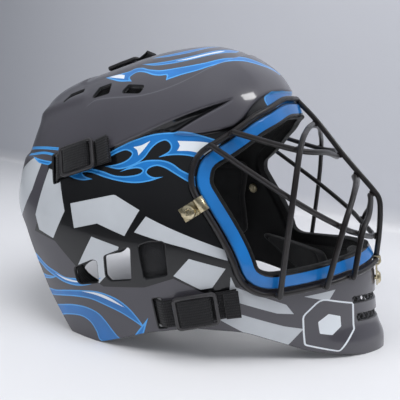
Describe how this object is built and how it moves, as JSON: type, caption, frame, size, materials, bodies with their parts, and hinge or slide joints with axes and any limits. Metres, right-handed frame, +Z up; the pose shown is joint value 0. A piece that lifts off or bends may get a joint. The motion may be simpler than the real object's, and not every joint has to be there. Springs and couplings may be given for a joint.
{
  "type": "goalie mask",
  "caption": "Ice hockey goalie mask: moulded shell round the head, welded wire cage over the face opening, clips, foam pads and a strapped back plate.",
  "frame": {"origin": "middle of the bounding box's bottom face, on the surface that the chin and the two rear corners stand on", "axes": "+X forward, through the face opening; +Y to the wearer's left; +Z up"},
  "size_m": [0.3535, 0.2532, 0.253],
  "materials": {
    "shell": "glossy painted composite, dark grey, black and blue",
    "wire": "satin black powder coat on steel wire",
    "trim": "soft black edge bead",
    "foam": "black foam with a fabric face",
    "yellow_foam": "yellowish closed-cell foam",
    "webbing": "black woven elastic webbing",
    "buckle": "moulded black plastic",
    "clip": "warm-toned plated steel",
    "mesh": "black moulded grille",
    "plate": "black moulded plastic, grained"
  },
  "bodies": {
    "mask": {"shell": "shell", "face_edge_trim": "trim", "cage_perimeter": "wire", "cage_centre_bar": "wire", "cage_upper_cross": "wire", "cage_lower_cross": "wire", "cage_outer_arch": "wire", "cage_middle_arch": "wire", "cage_inner_arch": "wire", "side_clip_right": "clip", "side_screw_right": "clip", "side_nut_right": "clip", "side_clip_left": "clip", "side_screw_left": "clip", "side_nut_left": "clip", "chin_clip": "clip", "chin_screw": "clip", "chin_nut": "clip", "forehead_pad": "foam", "crown_pad": "foam", "chin_pad": "foam", "temple_pad_right": "foam", "temple_pad_left": "foam", "cheek_pad_right": "foam", "cheek_pad_left": "foam", "jaw_pad_right": "foam", "jaw_pad_left": "foam", "rear_pad_right": "foam", "rear_pad_left": "foam", "vent_liner_right": "yellow_foam", "vent_liner_left": "yellow_foam", "chin_mesh_upper": "mesh", "chin_mesh_lower": "mesh", "upper_strap_right": "webbing", "upper_strap_left": "webbing", "lower_strap_right": "webbing", "lower_strap_left": "webbing", "top_strap": "webbing"},
    "back_plate_unit": {"back_plate": "plate", "back_plate_pad": "foam"},
    "upper_buckle_right": {"upper_buckle_right": "buckle"},
    "upper_buckle_left": {"upper_buckle_left": "buckle"},
    "lower_buckle_right": {"lower_buckle_right": "buckle"},
    "lower_buckle_left": {"lower_buckle_left": "buckle"},
    "top_buckle": {"top_buckle": "buckle"}
  },
  "joints": [
    {"name": "back_plate_pull", "type": "slide", "parent": "mask", "child": "back_plate_unit", "axis": [-1, 0, 0], "range_m": [0, 0.025], "stiffness_N_per_m": 400, "deforming": ["upper_strap_right", "upper_strap_left", "lower_strap_right", "lower_strap_left", "top_strap"]},
    {"name": "upper_buckle_right_slide", "type": "slide", "parent": "mask", "child": "upper_buckle_right", "axis": [0.9363, -0.0267, 0.3502], "range_m": [-0.005, 0.006]},
    {"name": "upper_buckle_left_slide", "type": "slide", "parent": "mask", "child": "upper_buckle_left", "axis": [0.9363, 0.0267, 0.3502], "range_m": [-0.005, 0.006]},
    {"name": "lower_buckle_right_slide", "type": "slide", "parent": "mask", "child": "lower_buckle_right", "axis": [0.9174, 0.3205, 0.2358], "range_m": [-0.005, 0.006]},
    {"name": "lower_buckle_left_slide", "type": "slide", "parent": "mask", "child": "lower_buckle_left", "axis": [0.9174, -0.3205, 0.2358], "range_m": [-0.005, 0.006]},
    {"name": "top_buckle_slide", "type": "slide", "parent": "mask", "child": "top_buckle", "axis": [0.9395, 0, 0.3425], "range_m": [-0.005, 0.006]}
  ]
}
